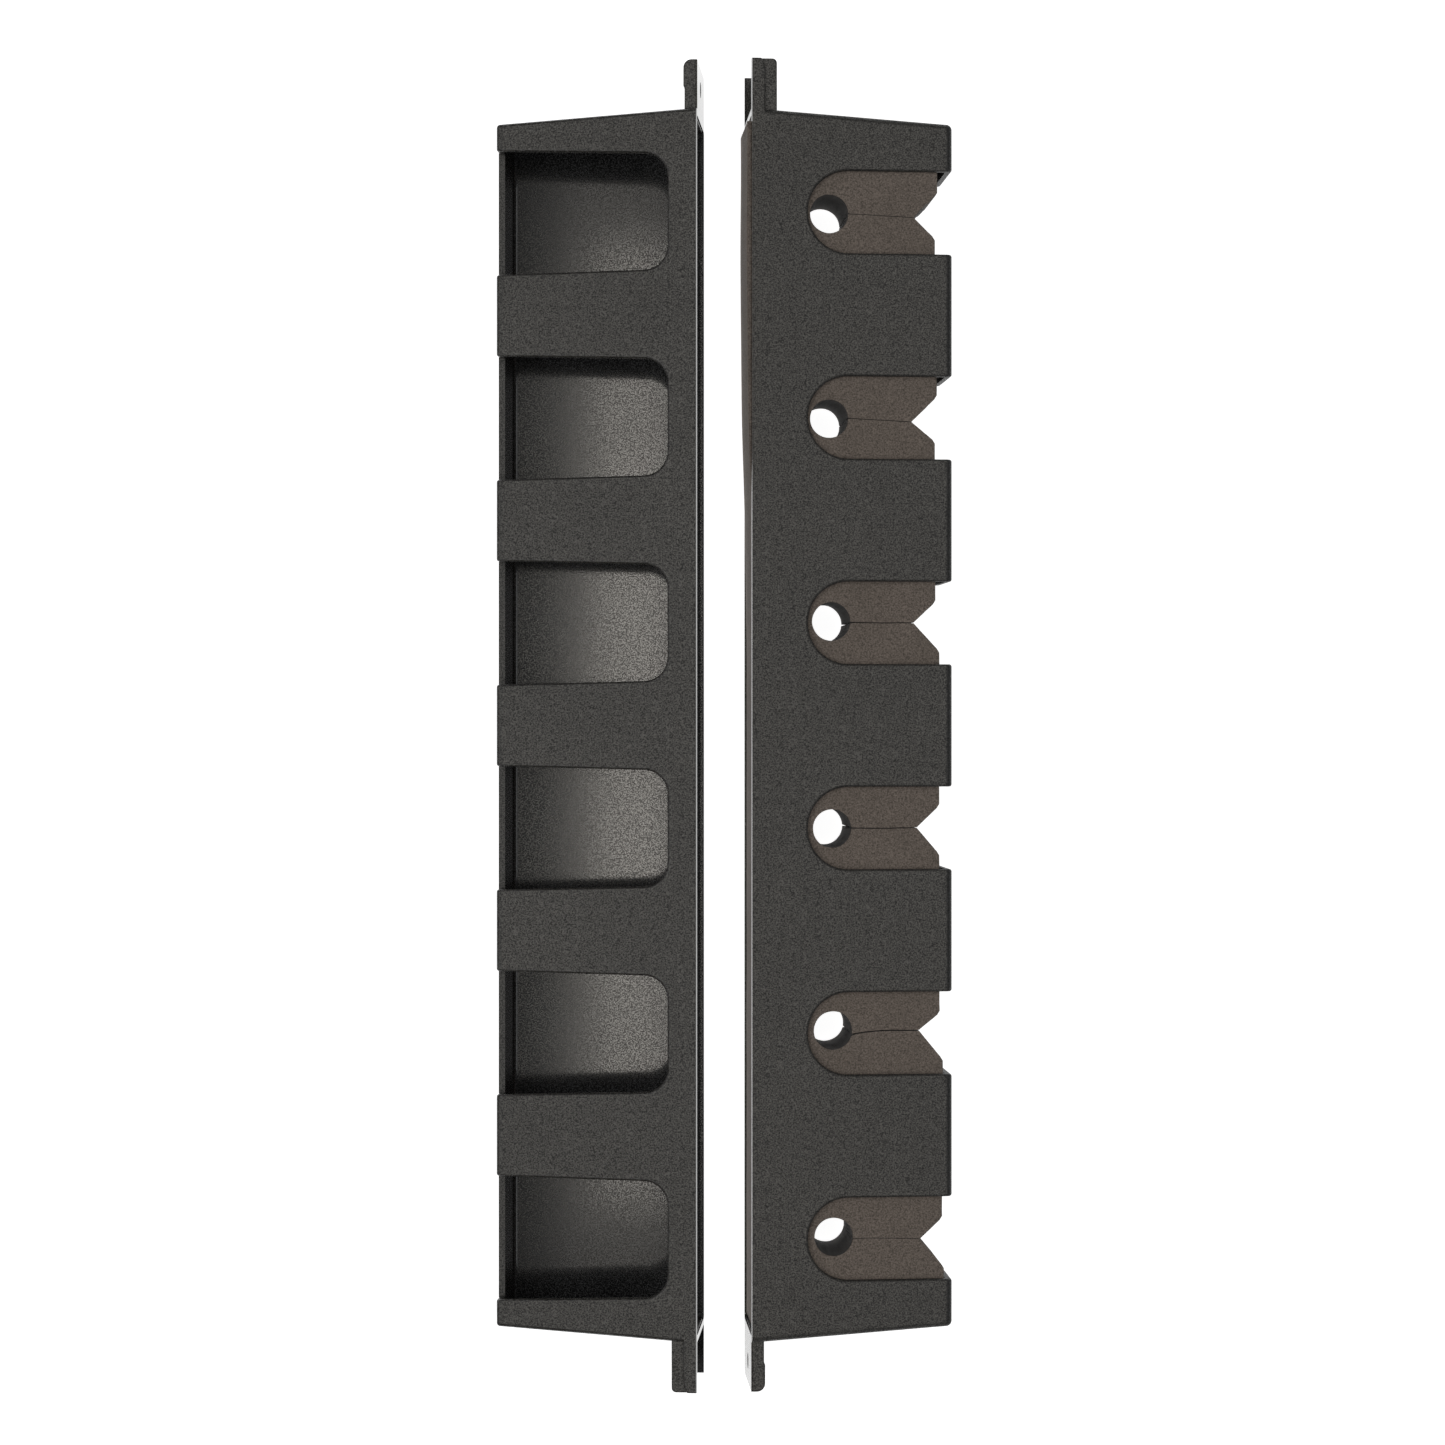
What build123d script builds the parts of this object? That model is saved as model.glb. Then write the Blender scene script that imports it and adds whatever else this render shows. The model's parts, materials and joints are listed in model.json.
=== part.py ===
from build123d import *
import math
import os

# A wall rack for six long sticks, such as cues or rods, in two moulded plastic rails.
# The butt rail is a box with a floor and six windows, and the butts stand in it.
# The grip rail is a box with six slots and a foam strip inside, and the foam holds the shafts.
# Both stand on their bottom plates, back to back, with their fronts facing outwards.
#
# Each rail is made in its own frame: x out from the wall, y along the rail, z up.
# The back plane is x = 0 and the back edge of the bottom plate is z = 0.

# Driving dimensions, in millimetres and degrees
PLACES = 6                  # sticks that the rack holds
PITCH = 70.0                # from one stick to the next
BODY_LENGTH = 420.0         # between the end walls' outsides, at the wall
BODY_DEPTH = 68.8           # from the wall to the front
BODY_HEIGHT = 45.0          # at the wall
WALL = 2.2                  # moulded wall thickness
PLATE_DRAFT = 3.0           # the top and bottom plates close in towards the front
END_DRAFT = 3.9             # the end walls close in towards the front
INNER_RADIUS = 1.5          # inside corners of the housings
BACK_BEVEL_DEPTH = 0.2      # bevel along the plates' outside edges at the wall, measured along x
BACK_BEVEL_HEIGHT = 2.0     # the same, measured up the edge
RIM_RADIUS = 0.8            # moulded edges of the windows and slots
BACK_GAP = 14.0             # between the two rails, at the floor

# Butt rail
BUTT_EDGE_RADIUS = 1.3      # outside edges of the housing
WINDOW_FRONT_WIDTH = 42.2
WINDOW_BACK_WIDTH = 39.4
WINDOW_BACK_X = 10.0        # from the wall to the window
WINDOW_CORNER = 8.3
LIP_DROP = 7.5              # the front wall stands this far below the top plate in a window

# Grip rail
GRIP_EDGE_RADIUS = 2.0
SLOT_WIDTH = 28.2
SLOT_BACK_X = 19.2          # from the wall to the round end of a slot

# Foam strip
FOAM_FRONT_X = 63.9
FOAM_END_GAP = 2.0          # to each end wall
FOAM_FACE_GAP = 0.05        # to the top and bottom plates
FOAM_HOLE_X = 26.7
FOAM_HOLE_RADIUS = 6.7
SLIT_WIDTH = 0.4
NOTCH_WIDTH = 16.0
NOTCH_DEPTH = 7.8

# Ears at the ends, for the screws
EAR_LENGTH = 17.0
EAR_HOLE_FROM_TIP = 7.5
EAR_HOLE_RADIUS = 2.75
COUNTERSINK_RADIUS = 4.6
TONGUE_THICKNESS = 4.8      # the plain ear, which a neighbouring rack's hood covers
TONGUE_NECK = 4.4           # its thickness next to the body
TONGUE_NECK_LENGTH = 7.5
TONGUE_INSET = 3.2          # below the top plate and above the bottom plate
TONGUE_TIP_RADIUS = 2.8
HOOD_THICKNESS = 8.7        # the hollow ear, which covers a neighbouring rack's tongue
HOOD_POCKET_DEPTH = 4.9
HOOD_INSET = 1.5            # its front part stands this far in from the plates
HOOD_FLANGE = 3.0           # from the plate's outside to the pocket
HOOD_TIP_RADIUS = 1.6
HOOD_SKIRT_X = 4.6          # the part of the ear that is flush with the plates
HOOD_SKIRT_TIP_X = 3.3      # the same, at the tip
HOOD_SKIRT_CURVE = 5.5      # length of the curve between them
EAR_EDGE_RADIUS = 0.5       # moulded edges of both ears, but not on the wall side

PAST = 1.0                  # how far cutting tools run past the surfaces they cut
NEAR = 0.01                 # points closer than this are the same place
MIDDLE_Z = BODY_HEIGHT / 2
STATIONS = [(place - (PLACES - 1) / 2) * PITCH for place in range(PLACES)]


def half_length(x):
    """Half the distance between the end walls' outsides, at x from the wall."""
    return BODY_LENGTH / 2 - x * math.tan(math.radians(END_DRAFT))


def half_height(x):
    """Half the distance between the plates' outsides, at x from the wall."""
    return BODY_HEIGHT / 2 - x * math.tan(math.radians(PLATE_DRAFT))


def tapered_block(back_x, front_x, end_inset, plate_inset):
    """A block that follows the body's four sloping sides, set in from them."""
    sections = []
    for x in (back_x, front_x):
        length = 2 * (half_length(x) - end_inset / math.cos(math.radians(END_DRAFT)))
        height = 2 * (half_height(x) - plate_inset / math.cos(math.radians(PLATE_DRAFT)))
        sections.append(Plane.YZ.offset(x) * Pos(0, MIDDLE_Z) * Rectangle(length, height))
    return loft(sections, ruled=True)


def front_and_depth_edges(block, front_x):
    """The edges round the front face and the four that run back from its corners."""
    return block.edges().filter_by(lambda edge: edge.bounding_box().max.X > front_x - 0.01)


def plate_wedge(length):
    """The space between the planes of the top and bottom plates' outsides, running along +y."""
    profile = make_face(Polyline(
        (0, MIDDLE_Z - half_height(0)), (BODY_DEPTH, MIDDLE_Z - half_height(BODY_DEPTH)),
        (BODY_DEPTH, MIDDLE_Z + half_height(BODY_DEPTH)), (0, MIDDLE_Z + half_height(0)), close=True))
    return extrude(Plane.XZ * profile, amount=length, both=True)


def upright_prism(outline, low_z, high_z):
    """A prism of an outline in x and y, from low_z to high_z."""
    return extrude(Pos(0, 0, low_z) * outline, amount=high_z - low_z)


def back_bevels():
    """Two long wedges that bevel the outside edges of both plates at the wall."""
    top_z = MIDDLE_Z + half_height(0)
    corner = make_face(Polyline(
        (-PAST, top_z - BACK_BEVEL_HEIGHT), (0, top_z - BACK_BEVEL_HEIGHT), (BACK_BEVEL_DEPTH, top_z),
        (BACK_BEVEL_DEPTH, top_z + PAST), (-PAST, top_z + PAST), close=True))
    reach = BODY_LENGTH / 2 + EAR_LENGTH + PAST
    upper = extrude(Plane.XZ * corner, amount=reach, both=True)
    lower = mirror(upper, Plane.XY.offset(MIDDLE_Z))
    return upper + lower


def round_ear(prism, half):
    """Round the edges of a prism that are half(x) above or below the middle, away from both walls."""
    def is_outer(edge):
        middle = edge @ 0.5
        at_rim = abs(abs(middle.Z - MIDDLE_Z) - half(middle.X)) < NEAR
        return at_rim and middle.X > NEAR and middle.Y > NEAR - WALL

    return fillet(prism.edges().filter_by(is_outer), EAR_EDGE_RADIUS)


def tongue_ear():
    """The plain ear, from the end wall outwards along +y, starting inside the wall."""
    neck_end = TONGUE_NECK_LENGTH
    outline = make_face(Polyline(
        (0, -WALL), (TONGUE_NECK, -WALL), (TONGUE_NECK, neck_end),
        (TONGUE_THICKNESS, neck_end + TONGUE_THICKNESS - TONGUE_NECK),
        (TONGUE_THICKNESS, EAR_LENGTH), (0, EAR_LENGTH), close=True))
    tip = outline.vertices().sort_by(Axis.Y)[-2:].sort_by(Axis.X)[-1]
    outline = fillet(tip, TONGUE_TIP_RADIUS)
    ear = upright_prism(outline, TONGUE_INSET, BODY_HEIGHT - TONGUE_INSET)
    ear = round_ear(ear, lambda x: MIDDLE_Z - TONGUE_INSET)
    return ear - screw_hole(TONGUE_THICKNESS)


def hood_ear():
    """The hollow ear, from the end wall outwards along +y, starting inside the wall."""
    core = make_face(Polyline(
        (0, -WALL), (HOOD_THICKNESS, -WALL), (HOOD_THICKNESS, EAR_LENGTH), (0, EAR_LENGTH), close=True))
    tip = core.vertices().sort_by(Axis.Y)[-2:].sort_by(Axis.X)[-1]
    core = fillet(tip, HOOD_TIP_RADIUS)
    skirt = make_face([
        Polyline((HOOD_SKIRT_TIP_X, EAR_LENGTH), (0, EAR_LENGTH), (0, -WALL), (HOOD_SKIRT_X, -WALL),
                 (HOOD_SKIRT_X, EAR_LENGTH - HOOD_SKIRT_CURVE)),
        TangentArc((HOOD_SKIRT_X, EAR_LENGTH - HOOD_SKIRT_CURVE), (HOOD_SKIRT_TIP_X, EAR_LENGTH),
                   tangent=(0, 1)),
    ])
    ear = round_ear(upright_prism(core, HOOD_INSET, BODY_HEIGHT - HOOD_INSET),
                    lambda x: MIDDLE_Z - HOOD_INSET)
    ear += round_ear(upright_prism(skirt, 0, BODY_HEIGHT) & plate_wedge(2 * EAR_LENGTH), half_height)
    pocket = Box(HOOD_POCKET_DEPTH + PAST, EAR_LENGTH + PAST, BODY_HEIGHT - 2 * HOOD_FLANGE,
                 align=(Align.MAX, Align.MIN, Align.CENTER))
    ear -= Pos(HOOD_POCKET_DEPTH, 0, MIDDLE_Z) * pocket
    return ear - screw_hole(HOOD_THICKNESS)


def screw_hole(front_x):
    """A countersunk hole along x, with its wide end at front_x."""
    sink_depth = COUNTERSINK_RADIUS - EAR_HOLE_RADIUS
    across = Plane.YZ * Pos(EAR_LENGTH - EAR_HOLE_FROM_TIP, MIDDLE_Z)
    bore = extrude(across * Circle(EAR_HOLE_RADIUS), amount=front_x + PAST)
    cone = loft([
        Plane.YZ.offset(front_x - sink_depth) * Pos(EAR_LENGTH - EAR_HOLE_FROM_TIP, MIDDLE_Z)
        * Circle(EAR_HOLE_RADIUS),
        Plane.YZ.offset(front_x + PAST) * Pos(EAR_LENGTH - EAR_HOLE_FROM_TIP, MIDDLE_Z)
        * Circle(COUNTERSINK_RADIUS + PAST),
    ])
    return bore + cone


def blank_housing(edge_radius):
    """The moulding before its windows or slots are cut: a box with an open back and two ears."""
    outside = tapered_block(0, BODY_DEPTH, 0, 0)
    outside = fillet(front_and_depth_edges(outside, BODY_DEPTH), edge_radius)
    inside_front = BODY_DEPTH - WALL
    inside = tapered_block(-PAST, inside_front, WALL, WALL)
    inside = fillet(front_and_depth_edges(inside, inside_front), INNER_RADIUS)
    housing = outside - inside
    end_y = half_length(0)
    housing += Pos(0, end_y, 0) * hood_ear()
    housing += mirror(Pos(0, end_y, 0) * tongue_ear(), Plane.XZ)
    return housing - inside - back_bevels()


def window_outline():
    """A window that widens towards the front and runs out past it."""
    run = BODY_DEPTH - WINDOW_BACK_X
    widening = (WINDOW_FRONT_WIDTH - WINDOW_BACK_WIDTH) / run
    half_back = WINDOW_BACK_WIDTH / 2
    half_front = half_back + widening * (run + PAST) / 2
    front_x = BODY_DEPTH + PAST
    outline = make_face(Polyline(
        (WINDOW_BACK_X, -half_back), (front_x, -half_front),
        (front_x, half_front), (WINDOW_BACK_X, half_back), close=True))
    return fillet(outline.vertices().sort_by(Axis.X)[:2], WINDOW_CORNER)


def slot_outline():
    """A slot with a round end, running out past the front."""
    radius = SLOT_WIDTH / 2
    arc_x = SLOT_BACK_X + radius
    straight = BODY_DEPTH + PAST - arc_x
    lane = Pos(arc_x, 0) * Rectangle(straight, SLOT_WIDTH, align=(Align.MIN, Align.CENTER))
    return lane + Pos(arc_x, 0) * Circle(radius)


def round_rims(housing, outline, edge_radius):
    """Round the outside edges that an opening's outline leaves in the plates and the front wall."""
    wire = outline.faces()[0].outer_wire()

    def is_rim(edge):
        middle = edge @ 0.5
        from_plate = half_height(middle.X) - abs(middle.Z - MIDDLE_Z)
        from_front = BODY_DEPTH - middle.X
        on_flat = min(from_plate, from_front) < NEAR
        on_rounded_edge = max(from_plate, from_front) < edge_radius / 2
        if not (on_flat or on_rounded_edge):
            return False
        return any(wire.distance_to(Vector(middle.X, middle.Y - station, 0)) < NEAR for station in STATIONS)

    return fillet(housing.edges().filter_by(is_rim), RIM_RADIUS)


def butt_rail_housing():
    housing = blank_housing(BUTT_EDGE_RADIUS)
    lip_z = MIDDLE_Z + half_height(BODY_DEPTH) - LIP_DROP
    for station in STATIONS:
        housing -= Pos(0, station, 0) * upright_prism(window_outline(), lip_z, BODY_HEIGHT + PAST)
    return round_rims(housing, window_outline(), BUTT_EDGE_RADIUS)


def grip_rail_housing():
    housing = blank_housing(GRIP_EDGE_RADIUS)
    for station in STATIONS:
        housing -= Pos(0, station, 0) * upright_prism(slot_outline(), -PAST, BODY_HEIGHT + PAST)
    return round_rims(housing, slot_outline(), GRIP_EDGE_RADIUS)


def foam_strip():
    strip = tapered_block(0, FOAM_FRONT_X, WALL + FOAM_END_GAP, WALL + FOAM_FACE_GAP)
    apex_x = FOAM_FRONT_X - NOTCH_DEPTH
    past = PAST * NOTCH_WIDTH / 2 / NOTCH_DEPTH
    notch = make_face(Polyline(
        (apex_x, 0), (FOAM_FRONT_X + PAST, NOTCH_WIDTH / 2 + past),
        (FOAM_FRONT_X + PAST, -NOTCH_WIDTH / 2 - past), close=True))
    slit = Pos(FOAM_HOLE_X, 0) * Rectangle(
        apex_x + SLIT_WIDTH - FOAM_HOLE_X, SLIT_WIDTH, align=(Align.MIN, Align.CENTER))
    cut = notch + slit + Pos(FOAM_HOLE_X, 0) * Circle(FOAM_HOLE_RADIUS)
    for station in STATIONS:
        strip -= Pos(0, station, 0) * upright_prism(cut, -PAST, BODY_HEIGHT + PAST)
    return strip


# A rail resting on its bottom plate leans by the plate's draft, so its back plane leans forwards.
ON_BOTTOM_PLATE = Pos(BACK_GAP / 2, 0, 0) * Rot(0, PLATE_DRAFT, 0)
FACING_PLUS_X = ON_BOTTOM_PLATE
FACING_MINUS_X = Rot(0, 0, 180) * ON_BOTTOM_PLATE

NODES = {
    "butt_rail_housing": FACING_MINUS_X * butt_rail_housing(),
    "grip_rail_housing": FACING_PLUS_X * grip_rail_housing(),
    "foam_strip": FACING_PLUS_X * foam_strip(),
}

os.makedirs("parts", exist_ok=True)
for name, shape in NODES.items():
    export_step(shape, f"parts/{name}.step")
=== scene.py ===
import json
import math

import bpy
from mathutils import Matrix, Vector, noise
from mathutils.geometry import delaunay_2d_cdt


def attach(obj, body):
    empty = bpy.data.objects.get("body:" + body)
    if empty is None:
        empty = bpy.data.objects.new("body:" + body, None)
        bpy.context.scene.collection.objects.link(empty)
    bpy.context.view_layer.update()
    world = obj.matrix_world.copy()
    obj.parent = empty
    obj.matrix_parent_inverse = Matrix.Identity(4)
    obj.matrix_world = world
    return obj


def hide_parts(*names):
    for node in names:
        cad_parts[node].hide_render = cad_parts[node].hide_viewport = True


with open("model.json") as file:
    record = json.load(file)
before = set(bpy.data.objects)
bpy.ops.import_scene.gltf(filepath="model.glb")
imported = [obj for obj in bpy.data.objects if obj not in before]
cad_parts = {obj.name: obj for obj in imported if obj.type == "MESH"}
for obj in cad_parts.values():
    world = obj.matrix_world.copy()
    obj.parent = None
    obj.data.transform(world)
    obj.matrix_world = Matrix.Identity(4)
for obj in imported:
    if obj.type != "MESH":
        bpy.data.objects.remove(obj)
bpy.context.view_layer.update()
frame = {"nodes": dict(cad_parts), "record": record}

MM = 0.001
nodes = frame["nodes"]
mounts = {mount["name"]: mount for mount in frame["record"]["mounts"]}


# ---------------------------------------------------------------- the grip rail's own frame
# out points away from the wall, along runs down the rail, up is square to both. The rail leans a little.

GRIPS = [mounts[name] for name in sorted(mounts) if name.startswith("shaft_grip_")]
OUT = -Vector(mounts["grip_wall_face"]["axis"])
UP = Vector(GRIPS[0]["axis"])
ALONG = UP.cross(OUT)
HOLE_RADIUS = GRIPS[0]["dims"]["r_mm"]
HOLE_OUT = (Vector(GRIPS[0]["pos_m"]) - Vector(mounts["grip_wall_face"]["pos_m"])).dot(OUT)
MIDDLE = sum((Vector(grip["pos_m"]) for grip in GRIPS), Vector()) / len(GRIPS) - HOLE_OUT * OUT


def to_rail(point):
    """A point of the row frame as (out, along, up) in millimetres from the rail's middle at the wall."""
    offset = Vector(point) - MIDDLE
    return offset.dot(OUT) / MM, offset.dot(ALONG) / MM, offset.dot(UP) / MM


def from_rail(out, along, up):
    """The reverse of to_rail."""
    return MIDDLE + MM * (out * OUT + along * ALONG + up * UP)


# ---------------------------------------------------------------- foam strip
# One strip cut from sheet foam. Each place has a punched hole, a knife slit and a V notch.
# The strip is a little crooked in the rail and its cuts are uneven.

FOAM_POINTS = [to_rail(vertex.co) for vertex in nodes["foam_strip"].data.vertices]
FOAM_FRONT = max(point[0] for point in FOAM_POINTS)
BACK_HALF_LENGTH = max(point[1] for point in FOAM_POINTS)
BACK_HALF_HEIGHT = max(point[2] for point in FOAM_POINTS)
FRONT_HALF_HEIGHT = max(point[2] for point in FOAM_POINTS if point[0] > FOAM_FRONT - 0.5)
FRONT_HALF_LENGTH = max(point[1] for point in FOAM_POINTS if point[0] > FOAM_FRONT - 0.5)
STATIONS = [to_rail(grip["pos_m"])[1] for grip in GRIPS]

SHIFT_AT_HOOD_END = -0.8    # mm that the strip's front and cuts stand out of place along out
SHIFT_AT_TONGUE_END = 1.3
BACK_AT_HOOD_END = -1.4     # the same for its back, which bulges out of the rail at one end
BACK_AT_TONGUE_END = 0.7
NOTCH_DEPTH = 7.2
MOUTH_CHAMFER = 0.9
EDGE_SPACING = 2.0          # between points on the strip's straight edges
HOLE_STEPS = 56
SLIT_STEPS = 14
NOTCH_STEPS = 12
SIDE_LEVELS = 12            # rings of points down the strip's sides
ROUNDING_STEPS = 3
INNER_SPACING = 3.0         # between points inside the top and bottom faces
LIP_FADE = (20.0, 34.0)     # between these distances from a place, its front edge's own reach fades away

# What differs from place to place, from the tongue end to the hood end, in mm:
# hole and out: how far the hole is off centre along the rail and outwards
# point and deeper: how far the notch's point is off centre, and how much deeper it is
# wander, end and gap: how far the slit wanders, how far off the hole's middle it ends, and how wide it gapes
# lips and mouth: how far the front edge and the mouth's corner reach, on the tongue side and on the hood side
# nick: how nicked the notch's hood side is
PLACE_TRAITS = [
    {"hole": 0.55, "out": 0.2, "point": -0.55, "deeper": 0.0, "wander": 0.0, "end": -0.85, "gap": 0.15,
     "lips": (1.0, 0.4), "mouth": (9.8, 6.3), "nick": 0.05},
    {"hole": 0.95, "out": 0.3, "point": 0.75, "deeper": 0.0, "wander": 0.2, "end": -1.6, "gap": 0.36,
     "lips": (0.9, 0.0), "mouth": (8.8, 6.5), "nick": 0.1},
    {"hole": -0.15, "out": 0.75, "point": 0.05, "deeper": 0.0, "wander": -0.1, "end": 0.15, "gap": 0.26,
     "lips": (0.4, 0.65), "mouth": (8.5, 7.25), "nick": 0.05},
    {"hole": 0.45, "out": 1.2, "point": 0.05, "deeper": 0.4, "wander": -0.2, "end": -0.4, "gap": 0.26,
     "lips": (1.2, 0.0), "mouth": (9.2, 6.9), "nick": 0.05},
    {"hole": -0.4, "out": 0.75, "point": -1.25, "deeper": 0.8, "wander": 0.1, "end": 0.25, "gap": 0.18,
     "lips": (0.0, 0.65), "mouth": (7.7, 7.0), "nick": 0.1},
    {"hole": -0.5, "out": 0.75, "point": -1.45, "deeper": 0.0, "wander": 0.1, "end": 0.1, "gap": 0.16,
     "lips": (0.0, 0.8), "mouth": (8.2, 6.3), "nick": 0.45},
]
HOLE_SHRINK = 0.975         # the foam springs back round a punched hole


def smooth(t):
    t = min(max(t, 0.0), 1.0)
    return t * t * (3 - 2 * t)


def towards_tongue(along):
    """0 in the rail's hood half, growing to 1 at its tongue end."""
    return smooth((FRONT_HALF_LENGTH * 0.45 - along) / (FRONT_HALF_LENGTH * 1.3))


def strip_shift(along):
    """How far the strip's cuts are out of place along out."""
    return SHIFT_AT_HOOD_END + towards_tongue(along) * (SHIFT_AT_TONGUE_END - SHIFT_AT_HOOD_END)


def front_at(along):
    """The front edge, which reaches differently on the two sides of each notch."""
    near = min(STATIONS, key=lambda station: abs(station - along))
    lip = PLACE_TRAITS[STATIONS.index(near)]["lips"][along > near]
    full, gone = LIP_FADE
    return FOAM_FRONT + strip_shift(along) + lip * smooth((gone - abs(along - near)) / (gone - full))


def back_at(along):
    """The back edge, which bulges out of the rail at its hood end."""
    inside = smooth((0.72 - along / BACK_HALF_LENGTH) / 0.62)
    return BACK_AT_HOOD_END + inside * (BACK_AT_TONGUE_END - BACK_AT_HOOD_END)


def waver(x, y, seed, size):
    """Smooth unevenness, from -1 to 1, with features about size mm across."""
    return noise.noise(Vector((x / size, y / size, seed)))


def steps(start, end, count):
    """Points from start towards end, the last one left out."""
    return [(start[0] + (end[0] - start[0]) * i / count, start[1] + (end[1] - start[1]) * i / count)
            for i in range(count)]


def place_outline(station, traits, seed):
    """The cut at one place, from the mouth's near side round the hole to its far side, with edge radii."""
    hole = (HOLE_OUT / MM + strip_shift(station) + traits["out"], station + traits["hole"])
    tip_out = FOAM_FRONT + strip_shift(station) - NOTCH_DEPTH - traits["deeper"]
    half_gap = traits["gap"] / 2
    slit_angle = math.asin(traits["end"] / HOLE_RADIUS)
    points = []

    def side(sign):
        """From the front edge down one side of the notch and one lip of the slit, to the hole."""
        mouth = traits["mouth"][sign > 0]
        nick = traits["nick"] if sign > 0 else 0.05
        edge = station + sign * (mouth + MOUTH_CHAMFER)
        corner = (front_at(edge) - MOUTH_CHAMFER, station + sign * (mouth - MOUTH_CHAMFER * 0.6))
        tip = (tip_out, station + traits["point"] + sign * half_gap)
        lip = [(p, 0.35) for p in steps((front_at(edge), edge), corner, 2)]
        for i, p in enumerate(steps(corner, tip, NOTCH_STEPS)):
            push = nick * waver(p[0], p[1], seed, 1.6) * (0 < i)
            lip.append(((p[0] - abs(push), p[1] + sign * push), 0.3))
        at_hole = (hole[0] + HOLE_RADIUS * HOLE_SHRINK * math.cos(slit_angle),
                   hole[1] + traits["end"] + sign * half_gap)
        for i, p in enumerate(steps(tip, at_hole, SLIT_STEPS)):
            t = i / SLIT_STEPS
            wander = traits["wander"] * math.sin(math.pi * t) ** 2 * (0.4 + t)
            bend = wander - traits["end"] * t * (1 - t) ** 0.5
            ragged = 0.1 * waver(p[0], 0, seed, 1.7) * smooth(4 * t) * smooth(4 * (1 - t))
            lip.append(((p[0], p[1] + bend + ragged), 0.1))
        return lip

    points += side(-1)
    gap_angle = traits["gap"] / HOLE_RADIUS
    for i in range(HOLE_STEPS):
        angle = slit_angle - gap_angle - (2 * math.pi - 2 * gap_angle) * i / (HOLE_STEPS - 1)
        uneven = 0.016 * waver(math.cos(angle), math.sin(angle), seed + 5, 0.7)
        radius = HOLE_RADIUS * HOLE_SHRINK * (1 + uneven)
        points.append(((hole[0] + radius * math.cos(angle), hole[1] + radius * math.sin(angle)), 0.15))
    points += list(reversed(side(1)))
    return points


def straight_edge(start, end, radius, seed, swing):
    """A long edge of the strip, nearly straight, without its end point."""
    length = math.dist(start, end)
    count = max(2, round(length / EDGE_SPACING))
    edge = []
    for out, along in steps(start, end, count):
        edge.append(((out + swing * waver(along, out, seed, 22), along), radius))
    return edge


def strip_outline():
    """The strip seen along up, turning from out towards along, with the radius of its edge at each point."""
    outline = straight_edge((back_at(-BACK_HALF_LENGTH), -BACK_HALF_LENGTH),
                            (front_at(-FRONT_HALF_LENGTH), -FRONT_HALF_LENGTH), 0.5, 3, 0)
    last = -FRONT_HALF_LENGTH
    for number, station in enumerate(sorted(STATIONS)):
        traits = PLACE_TRAITS[STATIONS.index(station)]
        stop = station - traits["mouth"][0] - MOUTH_CHAMFER
        count = max(1, round((stop - last) / EDGE_SPACING))
        for _, along in steps((0, last), (0, stop), count)[min(number, 1):]:
            outline.append(((front_at(along) + 0.12 * waver(along, 0, 8, 9), along), 0.4))
        outline += place_outline(station, traits, 11 + number)
        last = station + traits["mouth"][1] + MOUTH_CHAMFER
    count = round((FRONT_HALF_LENGTH - last) / EDGE_SPACING)
    for _, along in steps((0, last), (0, FRONT_HALF_LENGTH), count)[1:]:
        outline.append(((front_at(along), along), 0.4))
    outline += straight_edge((front_at(FRONT_HALF_LENGTH), FRONT_HALF_LENGTH),
                             (back_at(BACK_HALF_LENGTH), BACK_HALF_LENGTH), 0.5, 4, 0)
    count = round(2 * BACK_HALF_LENGTH / EDGE_SPACING)
    for _, along in steps((0, BACK_HALF_LENGTH), (0, -BACK_HALF_LENGTH), count):
        outline.append(((back_at(along) + 0.15 * waver(along, 0, 6, 30), along), 0.5))
    return outline


def inward_normals(points):
    """At each point of a closed outline that turns left, the direction into it."""
    normals = []
    for i, point in enumerate(points):
        before, after = points[i - 1], points[(i + 1) % len(points)]
        to_here = Vector((point[0] - before[0], point[1] - before[1])).normalized()
        onwards = Vector((after[0] - point[0], after[1] - point[1])).normalized()
        bisector = Vector((-to_here.y - onwards.y, to_here.x + onwards.x))
        if bisector.length < 0.2:
            bisector = Vector((-to_here.y, to_here.x))
        normals.append(bisector.normalized())
    return normals


def half_height(out):
    """Half the strip's thickness at a distance from the wall: it follows the rail's sloping plates."""
    return BACK_HALF_HEIGHT + (FRONT_HALF_HEIGHT - BACK_HALF_HEIGHT) * max(out, 0) / FOAM_FRONT


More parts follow.
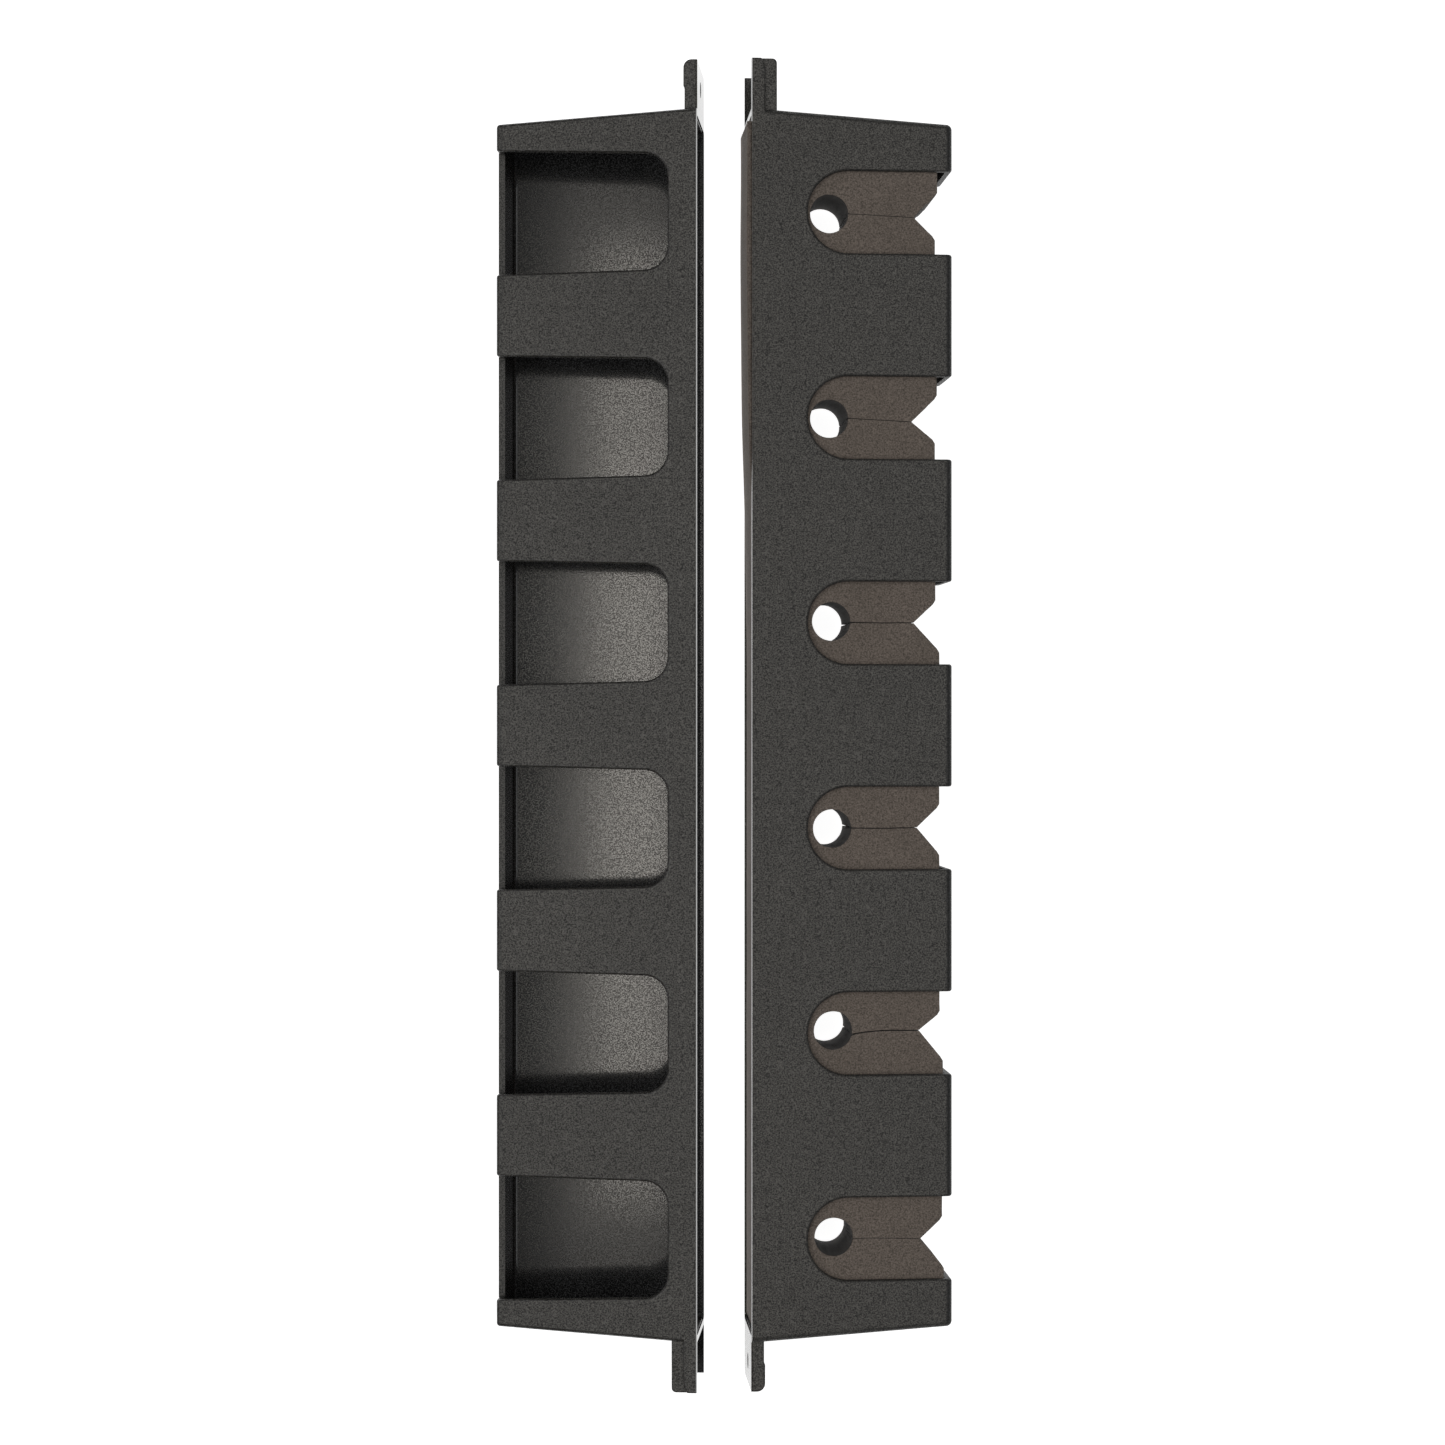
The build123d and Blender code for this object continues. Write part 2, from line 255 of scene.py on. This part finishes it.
def cap_mesh(ring):
    """Triangles that fill the outline, with inner points, as (points, triangles); ring points come first."""
    inner = []
    half = int(BACK_HALF_LENGTH / INNER_SPACING) + 1
    across = int(FOAM_FRONT / INNER_SPACING) + 2
    buckets = {}
    for x, y in ring:
        buckets.setdefault((round(x / INNER_SPACING), round(y / INNER_SPACING)), []).append((x, y))
    for row in range(-half, half + 1):
        for column in range(0, across):
            x = INNER_SPACING * (column + 0.5 * (row % 2)) + 0.3
            y = INNER_SPACING * row
            cell = (round(x / INNER_SPACING), round(y / INNER_SPACING))
            near = [p for i in (-1, 0, 1) for j in (-1, 0, 1)
                    for p in buckets.get((cell[0] + i, cell[1] + j), [])]
            if all(math.dist(p, (x, y)) > 0.55 * INNER_SPACING for p in near):
                inner.append((x, y))
    points = [Vector(p) for p in ring + inner]
    found = delaunay_2d_cdt(points, [], [list(range(len(ring)))], 1, 1e-6)
    made, triangles, origins = found[0], found[2], found[3]
    index = [sources[0] if sources else None for sources in origins]
    if None in index:
        raise RuntimeError("the foam outline crosses itself")
    kept = [[index[i] for i in triangle] for triangle in triangles]
    used = sorted({i for triangle in kept for i in triangle if i >= len(ring)})
    renumber = {old: len(ring) + new for new, old in enumerate(used)}
    inner_points = [tuple(points[i]) for i in used]
    return inner_points, [[renumber.get(i, i) for i in triangle] for triangle in kept]


def foam_strip():
    outline = strip_outline()
    ring = [point for point, _ in outline]
    radii = [radius for _, radius in outline]
    normals = inward_normals(ring)
    count = len(ring)

    def level_ring(side, inset_share, down_share):
        """One ring of points: side is 1 at the top, and the shares are of each point's edge radius."""
        made = []
        for (out, along), radius, normal in zip(ring, radii, normals):
            x = out + normal.x * radius * inset_share
            y = along + normal.y * radius * inset_share
            made.append((x, y, side * (half_height(x) - radius * down_share)))
        return made

    rings = []
    turn = [math.radians(90 * i / ROUNDING_STEPS) for i in range(ROUNDING_STEPS, -1, -1)]
    for angle in turn:
        rings.append(level_ring(1, 1 - math.cos(angle), 1 - math.sin(angle)))
    top, bottom = rings[-1], level_ring(-1, 0, 1)
    for level in range(1, SIDE_LEVELS):
        share = level / SIDE_LEVELS
        middle = []
        for i in range(count):
            x, y = ring[i]
            push = 0.13 * waver(x + 3 * share, y - 7 * share, 17.0, 5.0) if radii[i] > 0.2 else 0
            up = top[i][2] + (bottom[i][2] - top[i][2]) * share
            middle.append((x + normals[i].x * push, y + normals[i].y * push, up))
        rings.append(middle)
    for angle in reversed(turn):
        rings.append(level_ring(-1, 1 - math.cos(angle), 1 - math.sin(angle)))

    vertices = [point for one in rings for point in one]
    faces = []
    for level in range(len(rings) - 1):
        upper, lower = level * count, (level + 1) * count
        for i in range(count):
            j = (i + 1) % count
            faces.append([upper + i, lower + i, lower + j, upper + j])
    inner, triangles = cap_mesh([(x, y) for x, y, _ in rings[0]])
    for side, ring_start in ((1, 0), (-1, (len(rings) - 1) * count)):
        inner_start = len(vertices)
        for x, y in inner:
            swell = 0.12 * waver(x, y, 30.0 + side, 14)
            vertices.append((x, y, side * half_height(x) + swell * 0.3))
        for triangle in triangles:
            corners = [ring_start + i if i < count else inner_start + i - count for i in triangle]
            faces.append(corners if side > 0 else corners[::-1])

    mesh = bpy.data.meshes.new("foam_strip_cut")
    mesh.from_pydata([from_rail(*point) for point in vertices], [], faces)
    mesh.validate()
    foam = bpy.data.objects.new("foam_strip_cut", mesh)
    bpy.context.scene.collection.objects.link(foam)
    mesh.polygons.foreach_set("use_smooth", [True] * len(mesh.polygons))
    return foam


# ---------------------------------------------------------------- materials

FLOOR_TOP = 2.4             # mm: the butt rail's floor lies below this height
RAIL_FRONT = max(to_rail(vertex.co)[0] for vertex in nodes["grip_rail_housing"].data.vertices)


def add(tree, kind, **inputs):
    """A new node, with values for its named inputs; an underscore in a name stands for a space."""
    node = tree.nodes.new(kind)
    for name, value in inputs.items():
        node.inputs[name.replace("_", " ")].default_value = value
    return node


def ramp(tree, source, low, high, out_low, out_high, smooth_step=False):
    """source, mapped from low..high onto out_low..out_high and held there."""
    node = add(tree, "ShaderNodeMapRange", From_Min=low, From_Max=high, To_Min=out_low, To_Max=out_high)
    node.interpolation_type = "SMOOTHSTEP" if smooth_step else "LINEAR"
    tree.links.new(source, node.inputs["Value"])
    return node.outputs["Result"]


def math_node(tree, operation, first, second):
    node = tree.nodes.new("ShaderNodeMath")
    node.operation = operation
    for socket, value in zip(node.inputs, (first, second)):
        if isinstance(value, (int, float)):
            socket.default_value = value
        else:
            tree.links.new(value, socket)
    return node.outputs[0]


def noise_texture(tree, coordinates, size_mm, detail=3.0, roughness=0.55, distortion=0.0):
    """Noise with features about size_mm across."""
    node = add(tree, "ShaderNodeTexNoise", Scale=1 / (size_mm * MM), Detail=detail, Roughness=roughness,
               Distortion=distortion)
    tree.links.new(coordinates, node.inputs["Vector"])
    return node.outputs["Fac"]


def mix_colours(tree, factor, first, second):
    node = tree.nodes.new("ShaderNodeMix")
    node.data_type = "RGBA"
    tree.links.new(factor, node.inputs["Factor"])
    for name, value in (("A", first), ("B", second)):
        socket = [s for s in node.inputs if s.name == name and s.type == "RGBA"][0]
        if isinstance(value, tuple):
            socket.default_value = (*value, 1)
        else:
            tree.links.new(value, socket)
    return [s for s in node.outputs if s.type == "RGBA"][0]


def bump(tree, height, distance_mm, strength=1.0, under=None):
    node = add(tree, "ShaderNodeBump", Strength=strength, Distance=distance_mm * MM)
    tree.links.new(height, node.inputs["Height"])
    if under is not None:
        tree.links.new(under, node.inputs["Normal"])
    return node.outputs["Normal"]


def new_material(name):
    material = bpy.data.materials.new(name)
    material.use_nodes = True
    tree = material.node_tree
    shader = tree.nodes["Principled BSDF"]
    place = tree.nodes.new("ShaderNodeTexCoord")
    return material, tree, shader, place


def from_wall(tree, at, mount):
    """Distance in front of a wall face mount's plane, in metres."""
    outward = -Vector(mount["axis"])
    dot = tree.nodes.new("ShaderNodeVectorMath")
    dot.operation = "DOT_PRODUCT"
    tree.links.new(at, dot.inputs[0])
    dot.inputs[1].default_value = outward
    return math_node(tree, "SUBTRACT", dot.outputs["Value"], outward.dot(Vector(mount["pos_m"])))


def behind(tree, at, mount, depth_mm):
    """1 at the plane of a wall face mount, falling to 0 at depth_mm in front of it."""
    return ramp(tree, from_wall(tree, at, mount), 0.8 * depth_mm * MM, depth_mm * MM, 1.0, 0.0)


def facing(tree, place):
    """The upward part of the surface's normal."""
    normal = tree.nodes.new("ShaderNodeSeparateXYZ")
    tree.links.new(place.outputs["Normal"], normal.inputs[0])
    return normal.outputs["Z"]


def rail_plastic(name, wall_face, floor_gloss, edge_tone, edge_matt):
    """Charcoal moulded plastic with a fine spark-eroded grain.

    floor_gloss is 1 where the rail has a glossy floor. The rounded edges and the upright walls are darker
    with painted shade. edge_tone is the tone of the front edge, which is painted shade, and edge_matt is the
    roughness of the rounded edges, both as a share of the plates' own.
    """
    material, tree, shader, place = new_material(name)
    at = place.outputs["Object"]
    fine = noise_texture(tree, at, 0.46, detail=1.0, roughness=0.6)
    grain = noise_texture(tree, at, 0.9, detail=1.0, roughness=0.6)
    cloud = noise_texture(tree, at, 45, detail=2.0)
    peel = noise_texture(tree, at, 0.4, detail=2.0, roughness=0.6)
    out = from_wall(tree, at, wall_face)
    edge = behind(tree, at, wall_face, 0.6)

    # where the floor is, where the surface turns away from level, and where it is a wall
    parts = tree.nodes.new("ShaderNodeSeparateXYZ")
    tree.links.new(at, parts.inputs[0])
    upward = facing(tree, place)
    flatness = math_node(tree, "ABSOLUTE", upward, 0.0)
    height = parts.outputs["Z"]
    low = ramp(tree, height, (FLOOR_TOP + 0.6) * MM, (FLOOR_TOP + 1.4) * MM, floor_gloss, 0.0, True)
    level = ramp(tree, upward, 0.3, 0.6, 0.0, 1.0, True)
    floor = math_node(tree, "MULTIPLY", low, level)
    turned = ramp(tree, flatness, 0.95, 0.99, 1.0, 0.0)
    wall = ramp(tree, flatness, 0.15, 0.4, 1.0, 0.0)

    # colour: light and dark grain with random patches, and painted shade on the rounded edges, the upright
    # walls and the front edge
    speckle = ramp(tree, fine, 0.35, 0.65, 0.0, 1.0)
    dark_light = mix_colours(tree, speckle, (0.008, 0.0074, 0.0064), (0.082, 0.077, 0.068))
    # painted shade: the last 2 mm of the front edge are darkened to edge_tone of their colour
    front_edge_painted_shade = ramp(tree, out, (RAIL_FRONT - 2.4) * MM, (RAIL_FRONT - 1.6) * MM, 1.0, edge_tone)
    # painted shade: rounded edges that turn away from level are darkened to half their colour, and upright
    # walls to half again
    edges = math_node(tree, "MULTIPLY", ramp(tree, turned, 0, 1, 1, 0.5), front_edge_painted_shade)
    edge_and_wall_painted_shade = math_node(tree, "MULTIPLY", ramp(tree, wall, 0, 1, 1, 0.5), edges)
    patches_and_painted_shade = math_node(tree, "MULTIPLY", ramp(tree, cloud, 0.3, 0.7, 0.94, 1.06), edge_and_wall_painted_shade)
    tinted = tree.nodes.new("ShaderNodeHueSaturation")
    tree.links.new(patches_and_painted_shade, tinted.inputs["Value"])
    tree.links.new(dark_light, tinted.inputs["Color"])
    pits = ramp(tree, fine, 0.44, 0.68, 0.0, 1.0)
    pitted = mix_colours(tree, pits, (0.004, 0.0041, 0.0042), (0.062, 0.0625, 0.0636))
    colour = mix_colours(tree, floor, tinted.outputs["Color"], pitted)
    tree.links.new(colour, shader.inputs["Base Color"])

    # roughness: uneven with the grain, low on the floor and lower at the plates' back edges
    grainy = ramp(tree, fine, 0.35, 0.65, 0.70, 0.34)
    matte = math_node(tree, "MULTIPLY", grainy, ramp(tree, turned, 0.0, 1.0, 1.0, edge_matt))
    glossy = ramp(tree, fine, 0.38, 0.60, 0.19, 0.055)
    rough = tree.nodes.new("ShaderNodeMix")
    tree.links.new(floor, rough.inputs["Factor"])
    tree.links.new(matte, rough.inputs["A"])
    tree.links.new(glossy, rough.inputs["B"])
    polished = math_node(tree, "MULTIPLY", rough.outputs["Result"], ramp(tree, edge, 0.0, 1.0, 1.0, 0.25))
    tree.links.new(polished, shader.inputs["Roughness"])

    # relief: grain on the plates, faint peel on the floor, none at the back edges
    grain_height = math_node(tree, "ADD", grain, math_node(tree, "MULTIPLY", fine, 0.7))
    matte_share = math_node(tree, "SUBTRACT", 1.0, math_node(tree, "MAXIMUM", floor, edge))
    grained = bump(tree, math_node(tree, "MULTIPLY", grain_height, matte_share), 0.20, 1.0)
    peeled = bump(tree, math_node(tree, "MULTIPLY", peel, floor), 0.0032, 1.0, grained)
    tree.links.new(peeled, shader.inputs["Normal"])
    shader.inputs["IOR"].default_value = 1.5
    shader.inputs["Specular IOR Level"].default_value = 0.5
    return material


def grip_foam():
    """Brown-grey closed-cell foam: matte, with fine cells and faint colour drift.

    The upright faces away from the wall carry painted shade, and the strip's upright back, which lies open at
    the wall, carries painted light.
    """
    material, tree, shader, place = new_material("grip_foam_cells")
    at = place.outputs["Object"]
    cells = add(tree, "ShaderNodeTexVoronoi", Scale=1 / (0.5 * MM))
    tree.links.new(at, cells.inputs["Vector"])
    fine = noise_texture(tree, at, 0.55, detail=2.0, roughness=0.7)
    drift = noise_texture(tree, at, 18, detail=2.0)
    pits = ramp(tree, cells.outputs["Distance"], 0.0, 0.55, 0.0, 1.0)
    drifted = ramp(tree, drift, 0.3, 0.7, 0.0, 1.0)
    tone = mix_colours(tree, drifted, (0.187, 0.155, 0.130), (0.222, 0.183, 0.156))
    speckled = mix_colours(tree, ramp(tree, fine, 0.32, 0.68, 0.0, 1.0), (0.065, 0.054, 0.045), tone)
    # painted shade: upright faces more than about 5 mm from the wall (hole, slit, notch and front faces) are
    # darkened to 0.22 of their colour
    upright = ramp(tree, math_node(tree, "ABSOLUTE", facing(tree, place), 0.0), 0.3, 0.7, 1.0, 0.0)
    at_back = behind(tree, at, mounts["grip_wall_face"], 5.0)
    inside = math_node(tree, "SUBTRACT", 1.0, at_back)
    dark = ramp(tree, math_node(tree, "MULTIPLY", upright, inside), 0.0, 1.0, 1.0, 0.22)
    # painted light: the upright back of the strip, at the wall, is lightened to 1.6 times its colour
    light = ramp(tree, math_node(tree, "MULTIPLY", upright, at_back), 0.0, 1.0, 1.0, 1.6)
    cut = math_node(tree, "MULTIPLY", dark, light)
    shaded = tree.nodes.new("ShaderNodeHueSaturation")
    tree.links.new(cut, shaded.inputs["Value"])
    tree.links.new(speckled, shaded.inputs["Color"])
    tree.links.new(shaded.outputs["Color"], shader.inputs["Base Color"])
    height = math_node(tree, "ADD", math_node(tree, "MULTIPLY", pits, 0.5), fine)
    tree.links.new(bump(tree, height, 0.12, 0.7), shader.inputs["Normal"])
    shader.inputs["Roughness"].default_value = 0.88
    shader.inputs["Specular IOR Level"].default_value = 0.25
    shader.inputs["Sheen Weight"].default_value = 0.08
    shader.inputs["Sheen Roughness"].default_value = 0.6
    return material


def dress(obj, material):
    obj.data.materials.clear()
    obj.data.materials.append(material)


BUTT_PLASTIC = rail_plastic("butt_rail_plastic", mounts["butt_wall_face"], 1.0, 0.8, 0.4)
GRIP_PLASTIC = rail_plastic("grip_rail_plastic", mounts["grip_wall_face"], 0.0, 0.12, 1.1)

dress(nodes["butt_rail_housing"], BUTT_PLASTIC)
dress(nodes["grip_rail_housing"], GRIP_PLASTIC)
foam = foam_strip()
dress(foam, grip_foam())
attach(foam, "grip_rail")
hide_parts("foam_strip")


# ---------------------------------------------------------------- stage, lights and camera

CAMERA_HEIGHT = 1.342
CAMERA_X = -0.0006
CAMERA_Y = 0.0010
VIEW_ANGLE = 21.43          # degrees across the frame
FLOOR_GLOW = 0.95           # the floor is a light table, so that no shadow falls on it
FLOOR_HALF_WIDTH = 25.0     # m


def studio_floor():
    half = FLOOR_HALF_WIDTH
    mesh = bpy.data.meshes.new("studio_floor")
    corners = [(-half, -half, 0), (half, -half, 0), (half, half, 0), (-half, half, 0)]
    mesh.from_pydata(corners, [], [(0, 1, 2, 3)])
    floor = bpy.data.objects.new("studio_floor", mesh)
    floor.location.z = -0.0002
    bpy.context.scene.collection.objects.link(floor)
    material, tree, shader, place = new_material("studio_white")
    mottle = noise_texture(tree, place.outputs["Object"], 400, detail=2.0)
    colour = mix_colours(tree, mottle, (0.60, 0.60, 0.60), (0.63, 0.63, 0.63))
    tree.links.new(colour, shader.inputs["Base Color"])
    shader.inputs["Roughness"].default_value = 0.9
    shader.inputs["Emission Color"].default_value = (1, 1, 1, 1)
    shader.inputs["Emission Strength"].default_value = FLOOR_GLOW
    dress(floor, material)


def soft_box(name, location, target, size_x, size_y, watts, colour=(1.0, 1.0, 1.0)):
    """A light panel, turned about Y only, so that size_y stays along Y."""
    data = bpy.data.lights.new(name, "AREA")
    data.shape = "RECTANGLE"
    data.size = size_x
    data.size_y = size_y
    data.energy = watts
    data.color = colour
    light = bpy.data.objects.new(name, data)
    light.location = location
    light.rotation_euler = (0, math.atan2(location[0] - target[0], location[2] - target[2]), 0)
    bpy.context.scene.collection.objects.link(light)


STRIP_RIGHT = -0.035        # m: a strip light hangs overhead, left of the middle, brightest at its own middle
STRIP_LAYERS = ((0.40, 0.062, 1.0), (0.74, 0.064, 4.2), (0.98, 0.088, 1.2))   # length, width, radiance
STRIP_HEIGHT = 1.6
LAYER_GAP = 0.01            # the layers add up because each hangs a little above the one before
STRIP_COLOUR = (1.0, 0.95, 0.87)


def studio():
    studio_floor()
    for layer, (length, width, radiance) in enumerate(STRIP_LAYERS):
        left = STRIP_RIGHT - width / 2
        watts = radiance * math.pi * length * width
        place = (left, 0.0, STRIP_HEIGHT + LAYER_GAP * layer)
        soft_box("left_strip", place, (left, 0, 0), width, length, watts, STRIP_COLOUR)
    soft_box("left_ceiling", (-0.95, 0.0, 2.1), (0, 0, 0), 1.1, 2.6, 16.5)
    soft_box("right_ceiling", (0.95, 0.0, 2.1), (0, 0, 0), 1.1, 2.6, 12)
    soft_box("left_bank", (-1.6, 0.0, 1.6), (0, 0, 0), 1.6, 2.2, 2.4)
    soft_box("right_bank", (1.6, 0.0, 1.6), (0, 0, 0), 1.6, 2.2, 0.8)
    world = bpy.data.worlds.new("studio_surround")
    world.use_nodes = True
    world.node_tree.nodes["Background"].inputs["Color"].default_value = (1, 1, 1, 1)
    world.node_tree.nodes["Background"].inputs["Strength"].default_value = 0.15
    bpy.context.scene.world = world
    bpy.context.scene.view_settings.view_transform = "Standard"


def camera():
    data = bpy.data.cameras.new("camera")
    data.sensor_width = 36
    data.lens = 18 / math.tan(math.radians(VIEW_ANGLE / 2))
    data.clip_start = 0.01
    data.clip_end = 50
    view = bpy.data.objects.new("camera", data)
    view.location = (CAMERA_X, CAMERA_Y, CAMERA_HEIGHT)
    bpy.context.scene.collection.objects.link(view)
    bpy.context.scene.camera = view


studio()
camera()
